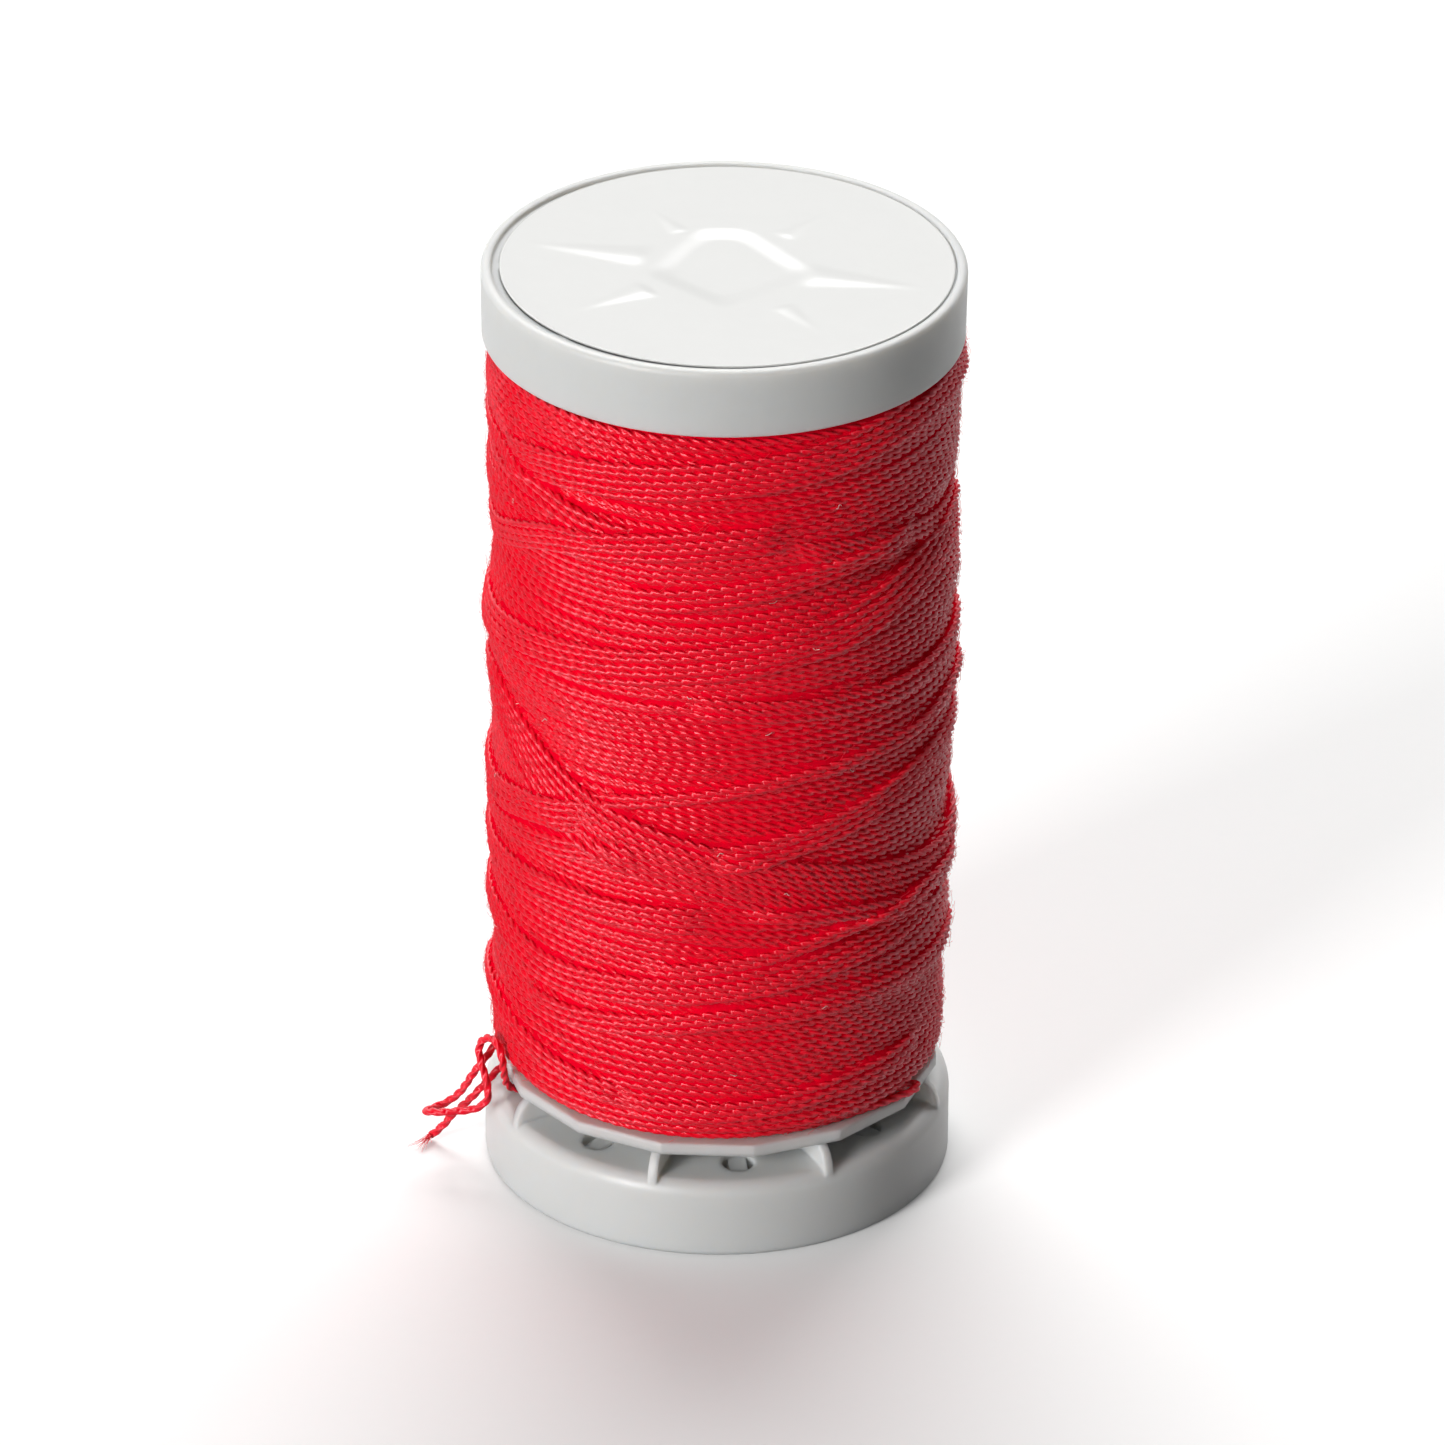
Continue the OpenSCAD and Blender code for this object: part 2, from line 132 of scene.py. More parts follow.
# Radius of the winding's inner wall, just off the barrel
BARREL_R_MM = 8.24
# Distance of a layer's first and last turns from the flanges
LAYER_END_MM = 0.25
# Warp of the under and the even layer: heights in millimetres between which it grows and then fades, width in
# samples of its random wander, and each swing's size, periods round, start, and height per radian
UNDER_WARP = ((7.2, 10), (51, 53.6), 30, ((0.35, 1, -1, 9), (0.25, 2, 0, 6)))
EVEN_WARP = ((7.8, 12), (50, 53.4), 25, ((0.55, 1, 0.5, 8), (0.3, 2, 0, -6)))
# Samples over which the thread of a layer and of a band is stiff
LAYER_TENSION, BAND_TENSION = 4, 5
# Degrees over which a band comes up at its first end and goes under again at its last
BAND_FADE = 16
# Depth of the two layers under the wound surface, in turns that have sunk in
LAYERS_DEEP = 1.6
# Outside radius of the twisted thread, as a share of half its thickness: the tops of its plies stand proud
PLY_TOP = 1.12
# How far under the surface a band's turns run where they don't lie on top, in radii of the thread
DIVE = 2.4
# Longest stretch of thread in one spline, and most thread in one piece, in samples
RUN_SAMPLES = 20 * TURN_STEPS
PIECE_SAMPLES = 8000


def length_mm(name, description, default):
    """Setting for a length, with its default in millimetres."""
    return FloatProperty(name=name, description=description, default=default * MM, unit="LENGTH")


def tint(name, description, default):
    """Setting for a colour."""
    return FloatVectorProperty(name=name, description=description, default=default, size=3, subtype="COLOR")


class ThreadSettings(PropertyGroup):
    """The thread and how it is wound"""

    thickness: length_mm("Thickness", "Thickness of the thread", 0.45)
    plies: IntProperty(name="Plies", description="Yarns twisted into the thread", default=3, min=2, max=4)
    ply_depth: FloatProperty(
        name="Ply depth", description="How fully the grooves between plies are open", default=0.85, min=0,
        max=1, subtype="FACTOR")
    lay: length_mm("Lay", "Length of one full twist of the plies", 2.5)
    spacing: length_mm("Spacing", "Distance between neighbouring turns", 0.455)
    sink: length_mm("Sink", "How far a turn presses into those under it", 0.12)
    surface_r: length_mm("Surface radius", "Radius of the even layer's surface", 13.25)
    foot_r: length_mm("Foot radius", "Radius of the winding on the lower flange", 12.1)
    foot_h: length_mm("Foot height", "Height over which the winding rounds in to its foot", 1.6)
    nest: length_mm("Nest", "How far a crossing turn presses into those under it", 0.2)
    hump: length_mm("Hump", "How far the surface is raised under a band, along its edge", 0.15)
    bed: length_mm("Bed", "Depth under the wound surface at which the gaps are filled", 0.16)
    fibres: IntProperty(name="Fibres", description="Stray fibres on the winding", default=16000, min=0)
    bloom: tint("Bloom", "Colour of the stray fibres", (0.95, 0.045, 0.075))
    color: tint("Colour", "Colour of the thread", (0.9, 0.001, 0.02))


class PlasticSettings(PropertyGroup):
    """The white mouldings"""

    color: tint("Colour", "Colour of the spool's body", (0.60, 0.605, 0.595))
    # Painted light: the locking base is the same white plastic as the body, coloured about a tenth lighter to
    # make up for the light it gets less of
    base_color_painted_light: tint("Base colour", "Colour of the locking base", (0.67, 0.675, 0.665))
    roughness: FloatProperty(
        name="Roughness", description="Roughness of the moulded surface", default=0.38, min=0, max=1,
        subtype="FACTOR")
    edge: length_mm("Edge rounding", "Rounding of the moulded edges", 0.35)


class LabelSettings(PropertyGroup):
    """The round sticker in the top flange"""

    dent: length_mm("Dent", "Depth of the hollow over the bore", 0.12)
    mouth_r: length_mm("Mouth radius", "Radius of the bore's widened mouth under the label", 5.0)
    fold: length_mm("Fold height", "Height of the ridges that run out from the hollow", 0.08)
    shift: FloatVectorProperty(
        name="Shift", description="How far off the middle it was stuck on",
        default=(0.18 * MM, 0.2 * MM, 0), size=3, subtype="TRANSLATION")
    color: tint("Colour", "Colour of the label", (0.70, 0.70, 0.685))


class StageSettings(PropertyGroup):
    """Camera, lamps and floor"""

    distance: FloatProperty(
        name="Distance", description="From the camera to its target", default=0.6804, unit="LENGTH")
    elevation: FloatProperty(
        name="Elevation", description="Angle at which the camera looks down", default=math.radians(28.204),
        subtype="ANGLE")
    roll: FloatProperty(
        name="Roll", description="Turn of the camera about its line of sight", default=math.radians(0.509),
        subtype="ANGLE")
    target: FloatVectorProperty(
        name="Target", description="Point at the centre of the picture",
        default=(0.127 * MM, 0, 28.17 * MM), size=3, subtype="TRANSLATION")
    lens: FloatProperty(
        name="Lens", description="Focal length in millimetres, on a frame 36 mm wide", default=289.37)
    key: FloatProperty(
        name="Key lamp", description="Power of the lamp at the front on the left, in watts", default=19.0)
    back: FloatProperty(
        name="Back lamp", description="Power of the soft lamp above and behind, in watts", default=27.4)
    world: FloatProperty(
        name="Surroundings", description="Light from the dim surroundings in front", default=0.05)
    backdrop: FloatProperty(name="Backdrop", description="Light from the pale backdrop", default=0.3)


# ---- helpers

def place(azimuth, radius, height):
    """Point in the frame from azimuth in degrees, radius and height."""
    a = math.radians(azimuth)
    return Vector((radius * math.sin(a), -radius * math.cos(a), height))


def smooth_path(points, steps):
    """Catmull-Rom curve through the points, as an array, with steps samples between each two."""
    p = np.array(points, float)
    out = []
    for i in range(len(p) - 1):
        a, b, c, d = p[max(i - 1, 0)], p[i], p[i + 1], p[min(i + 2, len(p) - 1)]
        square, cube = 2 * a - 5 * b + 4 * c - d, 3 * b - a - 3 * c + d
        for t in np.arange(steps) / steps:
            out.append(0.5 * (2 * b + t * (c - a + t * (square + t * cube))))
    out.append(p[-1])
    return np.array(out)


def ease(values, width):
    """Values smoothed along their row by a bell of that width in samples, with the ends held."""
    reach = int(3 * width)
    bell = np.exp(-0.5 * (np.arange(-reach, reach + 1) / width) ** 2)
    padded = np.pad(values, reach, mode="edge")
    return np.convolve(padded, bell / bell.sum(), mode="valid")


def smoothstep(low, high, x):
    """0 below low, 1 above high, eased between."""
    t = np.clip((x - low) / (high - low), 0, 1)
    return t * t * (3 - 2 * t)


def window(azimuths, first, last, fade):
    """1 between two azimuths and 0 outside them, eased over that many degrees inside each."""
    return smoothstep(first, first + fade, azimuths) * (1 - smoothstep(last - fade, last, azimuths))


def add_object(name, data):
    """Object of that data, in the scene."""
    obj = bpy.data.objects.new(name, data)
    bpy.context.scene.collection.objects.link(obj)
    return obj


def link_piece(mesh, material, replaced=()):
    """Puts a finished mesh in the scene as a piece that rides on the spool, and returns its object."""
    mesh.materials.append(material)
    obj = add_object(mesh.name, mesh)
    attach(obj, "spool")
    if replaced:
        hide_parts(*replaced)
    return obj


def turned(chain, steps, closed):
    """Bmesh of an open or closed chain of (radius, height) points, turned round the spool's axis."""
    bm = bmesh.new()
    verts = [bm.verts.new((r, 0, z)) for r, z in chain]
    edges = [bm.edges.new(pair) for pair in zip(verts, verts[1:] + (verts[:1] if closed else []))]
    bmesh.ops.spin(bm, geom=verts + edges, cent=(0, 0, 0), axis=(0, 0, 1), angle=2 * math.pi, steps=steps,
                   use_merge=True)
    bmesh.ops.remove_doubles(bm, verts=bm.verts, dist=1e-7)
    return bm


def finished_mesh(name, bm):
    """Smooth mesh of a bmesh, which is then freed."""
    mesh = bpy.data.meshes.new(name)
    bm.to_mesh(mesh)
    bm.free()
    mesh.shade_smooth()
    return mesh


def closed_outline(name, points):
    """Closed flat curve object through points of its plane, to be swept."""
    curve = bpy.data.curves.new(name, "CURVE")
    curve.dimensions = "2D"
    curve.fill_mode = "NONE"
    spline = curve.splines.new("POLY")
    spline.points.add(len(points) - 1)
    spline.use_cyclic_u = True
    for target, (x, y) in zip(spline.points, points):
        target.co = (x, y, 0, 1)
    return add_object(name, curve)


def thread_outline(settings):
    """Outline of the thread's cross-section: one round lobe for each ply, cut off by the groove to the next.
    Each lobe has three points, and each groove one."""
    ply = math.pi / settings.plies
    # The plies' distance from the thread's axis and their radius, for plies that touch and an outside radius
    # of 1
    reach = 1 / (1 + math.sin(ply))
    ply_r = 1 - reach
    points = []
    for i in range(4 * settings.plies):
        away = (-ply, -ply / 2, 0, ply / 2)[i % 4]
        round_r = reach * math.cos(away) + math.sqrt(max(ply_r**2 - (reach * math.sin(away)) ** 2, 0))
        r = settings.thickness / 2 * (PLY_TOP + settings.ply_depth * (round_r - 1))
        a = 2 * ply * (i // 4) + away
        points.append((r * math.cos(a), r * math.sin(a)))
    return closed_outline("thread_outline", points)


def space_curve(name, outline=None):
    """Curve in space, which sweeps an outline if it is given one."""
    curve = bpy.data.curves.new(name, "CURVE")
    curve.dimensions = "3D"
    if outline:
        curve.bevel_mode = "OBJECT"
        curve.bevel_object = outline
    return curve


def curve_mesh(curve):
    """Mesh of what a curve sweeps, in place of the curve."""
    name = curve.name
    sweep = add_object(name, curve)
    bpy.context.view_layer.update()
    mesh = bpy.data.meshes.new_from_object(sweep.evaluated_get(bpy.context.evaluated_depsgraph_get()))
    bpy.data.objects.remove(sweep)
    bpy.data.curves.remove(curve)
    mesh.name = name
    return mesh


def swept_mesh(name, runs, outline, twist_mode):
    """Mesh of threads swept along runs of (points, tilts, radii)."""
    curve = space_curve(name, outline)
    curve.twist_mode = twist_mode
    curve.use_fill_caps = True
    for points, tilts, radii in runs:
        spline = curve.splines.new("POLY")
        spline.points.add(len(points) - 1)
        spline.points.foreach_set("co", np.c_[points, np.ones(len(points))].ravel())
        spline.points.foreach_set("tilt", tilts)
        spline.points.foreach_set("radius", radii)
    mesh = curve_mesh(curve)
    mesh.shade_smooth()
    return mesh


def twist_along(points, lay):
    """Tilt at each point of a path for a thread of that lay."""
    lengths = np.linalg.norm(np.diff(points, axis=0), axis=1)
    return np.concatenate([[0], np.cumsum(lengths)]) * 2 * math.pi / lay


# ---- materials

def feed(socket, value):
    """Links an output to an input, or puts a value on it."""
    if isinstance(value, bpy.types.NodeSocket):
        socket.id_data.links.new(value, socket)
    else:
        socket.default_value = value


def set_inputs(node, **values):
    """Feeds a node's inputs, with an underscore for a space in their names, and returns the node."""
    for key, value in values.items():
        feed(node.inputs[key.replace("_", " ")], value)
    return node


def add_node(nodes, kind, **values):
    """Node of a kind, with its inputs fed."""
    return set_inputs(nodes.new(kind), **values)


def calculate(nodes, operation, *values):
    """Output of a maths node on outputs or numbers."""
    node = nodes.new("ShaderNodeMath")
    node.operation = operation
    for socket, value in zip(node.inputs, values):
        feed(socket, value)
    return node.outputs[0]


def map_range(nodes, value, kind="LINEAR", **ranges):
    """Output of a value mapped from one range to another."""
    node = nodes.new("ShaderNodeMapRange")
    node.interpolation_type = kind
    return set_inputs(node, Value=value, **ranges).outputs["Result"]


def mix_colors(nodes, **values):
    """Output of a mix of two colours."""
    node = nodes.new("ShaderNodeMix")
    node.data_type = "RGBA"
    return set_inputs(node, **values).outputs["Result"]


def new_group(name, inputs, outputs):
    """Node group with float sockets, or colours where their names say so, and its nodes, input and output."""
    group = bpy.data.node_groups.new(name, "ShaderNodeTree")
    for way, names in (("INPUT", inputs), ("OUTPUT", outputs)):
        for socket in names:
            kind = "NodeSocketColor" if socket in ("Colour", "Shade") else "NodeSocketFloat"
            group.interface.new_socket(socket, in_out=way, socket_type=kind)
    nodes = group.nodes
    return group, nodes, nodes.new("NodeGroupInput"), nodes.new("NodeGroupOutput")


def mottle_group():
    """Node group: a fine mottle on object coordinates, as a tinted colour and as a mask."""
    group, nodes, source, result = new_group("mottle", ("Colour", "Shade", "Scale", "Amount"),
                                             ("Colour", "Mask"))
    noise = add_node(nodes, "ShaderNodeTexNoise", Vector=nodes.new("ShaderNodeTexCoord").outputs["Object"],
                     Scale=source.outputs["Scale"], Detail=4.0, Roughness=0.6).outputs["Fac"]
    factor = calculate(nodes, "MULTIPLY", noise, source.outputs["Amount"])
    mix = mix_colors(nodes, Factor=factor, A=source.outputs["Colour"], B=source.outputs["Shade"])
    set_inputs(result, Colour=mix, Mask=noise)
    return group


def grain_group():
    """Node group: a fine grain on object coordinates, as a height."""
    group, nodes, source, result = new_group("grain", ("Scale", "Detail"), ("Height",))
    noise = add_node(nodes, "ShaderNodeTexNoise", Vector=nodes.new("ShaderNodeTexCoord").outputs["Object"],
                     Scale=source.outputs["Scale"], Detail=source.outputs["Detail"])
    set_inputs(result, Height=noise.outputs["Fac"])
    return group


def add_group(nodes, name, **values):
    """The mottle or grain group, built once, in a material with its own values."""
    node = nodes.new("ShaderNodeGroup")
    node.node_tree = bpy.data.node_groups.get(name) or {"mottle": mottle_group, "grain": grain_group}[name]()
    return set_inputs(node, **values)


def new_material(name, color, shade, scale, amount, **values):
    """Material whose base colour is a mottle between a colour and a shade of it, with its nodes, shader and
    mottle. The values feed the shader's inputs."""
    material = bpy.data.materials.new(name)
    material.use_nodes = True
    nodes = material.node_tree.nodes
    mottle = add_group(nodes, "mottle", Colour=(*color, 1), Shade=(*shade, 1), Scale=scale, Amount=amount)
    shader = set_inputs(nodes["Principled BSDF"], Base_Color=mottle.outputs["Colour"], **values)
    return material, nodes, shader, mottle


def add_grain(nodes, shader, scale, detail, strength, depth):
    """Grain in a material's surface. Returns the bump through which it turns the shader's normal."""
    grain = add_group(nodes, "grain", Scale=scale, Detail=detail)
    height = grain.outputs["Height"]
    bump = add_node(nodes, "ShaderNodeBump", Height=height, Strength=strength, Distance=depth)
    set_inputs(shader, Normal=bump.outputs["Normal"])
    return bump


def thread_material():
    """Twisted polyester. Its gloss lies across the fibres, which run along the plies, aslant to the turns."""
    material = bpy.data.materials.get("red_polyester_thread")
    if material:
        return material
    red, green, blue = bpy.context.scene.spool_thread.color
    material, nodes, shader, _ = new_material(
        "red_polyester_thread", (red, green, blue), (red * 0.86, green * 0.6, blue * 0.8), 900.0, 0.6,
        Roughness=0.36, Anisotropic=1.0, Anisotropic_Rotation=0.17, Specular_IOR_Level=1.0,
        Specular_Tint=(1.0, 0.55, 0.62, 1))
    add_grain(nodes, shader, 9000.0, 2.0, 0.2, 0.01 * MM)
    return material


def inner_material():
    """Thread deep in the gaps, between and under the turns that show, coloured darker than the thread as
    painted shade for the gaps, and without gloss.
    """
    color = tuple(bpy.context.scene.spool_thread.color)
    # Painted shade: the mottle runs down to a quarter darker than the thread, so that the gaps look shaded
    material, nodes, shader, _ = new_material(
        "inner_polyester_painted_shade", color, [0.75 * c for c in color], 2600.0, 1.0, Roughness=0.8,
        Specular_IOR_Level=0.0)
    add_grain(nodes, shader, 4000.0, 3.0, 0.6, 0.06 * MM)
    return material


def fibre_material():
    """Single fibres that stand off the thread and catch the light."""
    red, green, blue = bpy.context.scene.spool_thread.bloom
    shade = (red * 0.8, green * 0.4, blue * 0.5)
    return new_material("stray_polyester", (red, green, blue), shade, 700.0, 0.9, Roughness=0.5)[0]


def lint_material():
    """Pale dust and lint caught on the thread."""
    return new_material("pale_lint", (0.85, 0.7, 0.66), (0.75, 0.4, 0.36), 1500.0, 0.8, Roughness=0.8)[0]


def plastic_material(name, color):
    """Moulded polystyrene: even pale grey, satin, slightly translucent, faintly rippled by the mould."""
    settings = bpy.context.scene.spool_plastic
    material, nodes, shader, mottle = new_material(
        name, color, [0.93 * c for c in color], 260.0, 0.7, Subsurface_Weight=0.8,
        Subsurface_Radius=(1.0, 0.9, 0.8), Subsurface_Scale=1.5 * MM)
    bump = add_grain(nodes, shader, 420.0, 3.0, 0.12, 0.05 * MM)
    edges = add_node(nodes, "ShaderNodeBevel", Radius=settings.edge)
    set_inputs(bump, Normal=edges.outputs["Normal"])
    rough = map_range(nodes, mottle.outputs["Mask"], To_Min=settings.roughness - 0.06,
                      To_Max=settings.roughness + 0.08)
    set_inputs(shader, Roughness=rough)
    return material


def label_material():
    """Film-faced paper: pale, glossy, faintly rippled."""
    color = tuple(bpy.context.scene.spool_label.color)
    material, nodes, shader, _ = new_material(
        "glossy_label", color, [0.95 * c for c in color], 700.0, 0.6, Roughness=0.22)
    add_grain(nodes, shader, 330.0, 3.0, 0.16, 0.05 * MM)
    return material


def seen_rays(nodes, gloss):
    """Output that is 1 for rays that show the surroundings, from the camera or through glass, and as much as
    another output says for rays by gloss."""
    path = nodes.new("ShaderNodeLightPath")
    by_gloss = calculate(nodes, "MULTIPLY", path.outputs["Is Glossy Ray"], gloss)
    most = calculate(nodes, "MAXIMUM", path.outputs["Is Camera Ray"], by_gloss)
    return calculate(nodes, "MAXIMUM", most, path.outputs["Is Transmission Ray"])


def floor_material():
    """Pale paper, seen by gloss only from a little in front of the spool backwards. It throws back light as
    plain grey does, and where it is seen it glows a little."""
    bounce, glow = (0.28, 0.28, 0.28, 1), 0.14
    gloss_from, gloss_full = -0.09, -0.04
    material, nodes, shader, paper = new_material(
        "pale_floor", (0.98, 0.98, 0.975), (0.94, 0.94, 0.935), 1100.0, 0.5, Roughness=0.8,
        Specular_IOR_Level=0.05)
    split = add_node(nodes, "ShaderNodeSeparateXYZ", Vector=nodes.new("ShaderNodeTexCoord").outputs["Object"])
    sweep = map_range(nodes, split.outputs["Y"], "SMOOTHSTEP", From_Min=gloss_from, From_Max=gloss_full)
    seen = seen_rays(nodes, sweep)
    set_inputs(shader, Base_Color=mix_colors(nodes, Factor=seen, A=bounce, B=paper.outputs["Colour"]))
    white = add_node(nodes, "ShaderNodeEmission", Color=(1, 1, 1, 1), Strength=1.0)
    both = add_node(nodes, "ShaderNodeMixShader", Fac=calculate(nodes, "MULTIPLY", seen, glow))
    feed(both.inputs[1], shader.outputs[0])
    feed(both.inputs[2], white.outputs[0])
    set_inputs(nodes["Material Output"], Surface=both.outputs[0])
    return material


# ---- winding

def edge_line(knots, width=5):
    """Height at each whole degree of azimuth from -180, through the knots and round the back, eased over that
    many degrees."""
    azimuths, heights = np.array(knots, float).T
    line = np.interp(DEGREES, azimuths, heights, period=360)
    return ease(np.tile(line, 3), width)[TURN_STEPS:2 * TURN_STEPS]


def surface_profile(z, settings, depth=0.0):
    """Radius, that deep under the wound surface, at height z (mm): straight, rounding in to its foot on the
    lower flange."""
    low, foot_h = PACKAGE_LOW.z / MM, settings.foot_h / MM
    straight, foot = settings.surface_r / MM, settings.foot_r / MM
    t = np.clip((low + foot_h - z) / foot_h, 0, 1)
    return foot + (straight - foot) * np.sqrt(1 - t * t) - depth


def swell(azimuths, heights, width=14):
    """Slow swell of the wound surface in millimetres, by azimuth and height, eased over that many cells."""
    left, right = (ease(np.interp(heights, *np.array(knots, float).T), width)
                   for knots in (SWELL_LEFT, SWELL_RIGHT))
    share = (1 + np.sin(np.radians(azimuths)))[:, None] / 2
    return left * (1 - share) + right * share


def slide_max(values, reach):
    """Greatest value within that many cells along each row."""
    padded = np.pad(values, ((0, 0), (reach, reach)), mode="edge")
    return np.max([padded[:, k:k + values.shape[1]] for k in range(2 * reach + 1)], axis=0)


class Package:
    """The package while it is wound: the radius of its surface by azimuth and height, in millimetres."""

    def __init__(self, settings, depth):
        self.radius = settings.thickness / MM / 2 * PLY_TOP
        self.heights = np.arange(GRID_LOW_MM, GRID_HIGH_MM, CELL_MM)
        self.surface = surface_profile(self.heights, settings, depth) + swell(DEGREES, self.heights)
        reach = int(self.radius / CELL_MM)
        self.offsets = np.arange(-reach, reach + 1)
        self.lift = np.sqrt(self.radius**2 - (self.offsets * CELL_MM) ** 2)

    def cells(self, azimuths, heights):
        """Columns and rows of the cells that a thread covers at each sample."""
        column = (np.round(azimuths).astype(int) + 180) % TURN_STEPS
        row = np.round((heights - GRID_LOW_MM) / CELL_MM).astype(int)
        rows = np.clip(row[:, None] + self.offsets, 0, len(self.heights) - 1)
        return np.repeat(column[:, None], len(self.offsets), axis=1), rows

    def lay(self, azimuths, heights, tension, nest, over=1.0):
        """Lays a thread on the surface and returns the radius of its centre at each sample. Where over is 0
        the thread runs under the surface, and where it is 1 on top."""
        cells = self.cells(azimuths, heights)
        centre = (self.surface[cells] + self.lift).max(axis=1) - nest
        centre = np.maximum(ease(centre, tension), centre) - (1 - over) * DIVE * self.radius
        np.maximum.at(self.surface, cells, centre[:, None] + self.lift)
        return centre

    def raise_band(self, line, side, width, first, last, height, foot=-0.12, top=0.18, fade=25):
        """Raises the surface where a band will lie, between two azimuths: steeply at its edge, from foot to
        top in millimetres across it, then less and less across its width."""
        across = side * (self.heights - line[:, None])
        shape = smoothstep(foot, top, across) * (1 - smoothstep(0.1 * width, width, across))
        self.surface += height * window(DEGREES, first, last, fade)[:, None] * shape

    def bed(self, depth):
        """Radius by azimuth and height of what fills the gaps between turns, that deep under their tops."""
        reach = len(self.offsets) // 2
        return -slide_max(-slide_max(self.surface, reach), reach) - depth

    def shows(self, azimuths, heights, centre, cover=0.1, margin=4):
        """Whether a thread shows at each sample once the package is wound: its middle has less than that
        cover in millimetres. The margin, in samples, hides its ends."""
        middle = np.abs(self.offsets) * CELL_MM < 0.7 * self.radius
        depth = self.surface[self.cells(azimuths, heights)] - centre[:, None] - self.lift
        clear = (depth[:, middle].min(axis=1) < cover).astype(float)
        return np.convolve(np.pad(clear, margin, mode="edge"), np.ones(2 * margin + 1), mode="valid") > 0


def helix(low, high, end_azimuth, sense, settings):
    """Azimuth and height of each sample of even turns, from the upper end to the lower, which is at the end
    azimuth. Sense is 1 or -1, the way round."""
    heights, step = [low], 0.02
    while heights[-1] < high:
        z = heights[-1]
        slope = (surface_profile(z + step, settings) - surface_profile(z, settings)) / step
        heights.append(z + settings.spacing / MM / TURN_STEPS / math.hypot(1, slope))
    z = np.array(heights)[::-1]
    return end_azimuth - sense * np.arange(len(z))[::-1], z


def warped(azimuths, z, warp, rng):
    """Heights of a layer's samples once it is warped by slow swings and a random wander."""
    grows, fades, width, swings = warp
    a = np.radians(azimuths)
    swing = sum(size * np.sin(times * a + start + z / pitch) for size, times, start, pitch in swings)
    share = smoothstep(*grows, z) * smoothstep(*fades[::-1], z)
    return z + share * (swing + wander(len(z), width, rng))


def under_layer(settings, rng):
    """Azimuth and height of the layer under the even one, which shows in its gaps."""
    low, high = PACKAGE_LOW.z / MM + LAYER_END_MM, PACKAGE_HIGH.z / MM - LAYER_END_MM
    azimuths, z = helix(low, high, 150, -1, settings)
    return azimuths, warped(azimuths, z, UNDER_WARP, rng)


def even_layer(settings, rng):
    """Azimuth and height of the even layer, wound downwards so as to end at the free end."""
    exit_point = TAIL_ROUTE_MM[0]
    exit_azimuth = math.degrees(math.atan2(exit_point[0], -exit_point[1]))
    azimuths, z = helix(exit_point[2], PACKAGE_HIGH.z / MM - LAYER_END_MM, exit_azimuth, 1, settings)
    return azimuths, warped(azimuths, z, EVEN_WARP, rng)


def band_path(index, turns, side, knots, settings, rng, back=120, step=53):
    """Azimuth and height of each sample of a band of turns beside its edge. The bands start at the back, each
    at another azimuth."""
    line = edge_line(knots)
    azimuths = back + (index * step) % back + np.arange(turns * TURN_STEPS)
    offset = (np.arange(len(azimuths)) / TURN_STEPS - 0.5) * settings.spacing / MM
    heights = line[(azimuths + 180) % TURN_STEPS] + side * offset + wander(len(azimuths), 20, rng)
    return (azimuths + 180) % 360 - 180, heights


def wander(count, width, rng, spread=0.045):
    """Slow random wander of that spread, eased over that many samples."""
    values = ease(rng.standard_normal(count), width)
    return spread * values / values.std()


def visible_runs(mask):
    """Start and end of each stretch of a mask that is true."""
    edges = np.flatnonzero(np.diff(np.concatenate([[0], mask.astype(int), [0]])))
    return list(zip(edges[::2], edges[1::2]))


def thread_run(azimuths, heights, radii, settings, rng):
    """Points, tilts and radii of one stretch of thread, which starts at a random tilt."""
    a = np.radians(azimuths)
    points = np.c_[radii * np.sin(a), -radii * np.cos(a), heights] * MM
    return points, twist_along(points, settings.lay) + rng.uniform(0, 6), 1 + wander(len(a), 4, rng, 0.03)


def wind(settings):
    """All runs of thread that show, and the finished package."""
    rng = np.random.default_rng(7)
    package = Package(settings, LAYERS_DEEP * (settings.thickness - settings.sink) / MM)
    for turns, side, first, last, knots in BANDS:
        width = turns * settings.spacing / MM
        package.raise_band(edge_line(knots), side, width, first, last, settings.hump / MM)
    laid = []
    for path in (under_layer, even_layer):
        azimuths, heights = path(settings, rng)
        centre = package.lay(azimuths, heights, LAYER_TENSION, settings.sink / MM)
        laid.append((azimuths, heights, centre, None))
    for index, (turns, side, first, last, knots) in enumerate(BANDS):
        azimuths, heights = band_path(index, turns, side, knots, settings, rng)
        over = window(azimuths, first, last, BAND_FADE)
        centre = package.lay(azimuths, heights, BAND_TENSION, settings.nest / MM, over)
        laid.append((azimuths, heights, centre, over))
    runs = []
    for azimuths, heights, centre, over in laid:
        mask = package.shows(azimuths, heights, centre)
        if over is not None:
            mask &= over > 0.02
        for i, j in visible_runs(mask):
            for k in range(i, j - 3, RUN_SAMPLES):
                part = slice(k, min(k + RUN_SAMPLES + 1, j))
                runs.append(thread_run(azimuths[part], heights[part], centre[part], settings, rng))
    azimuths, radii, heights = smooth_path(SLACK_LOOP, 12).T
    runs.append(thread_run(azimuths, heights, radii, settings, rng))
    return runs, package


# ---- operators

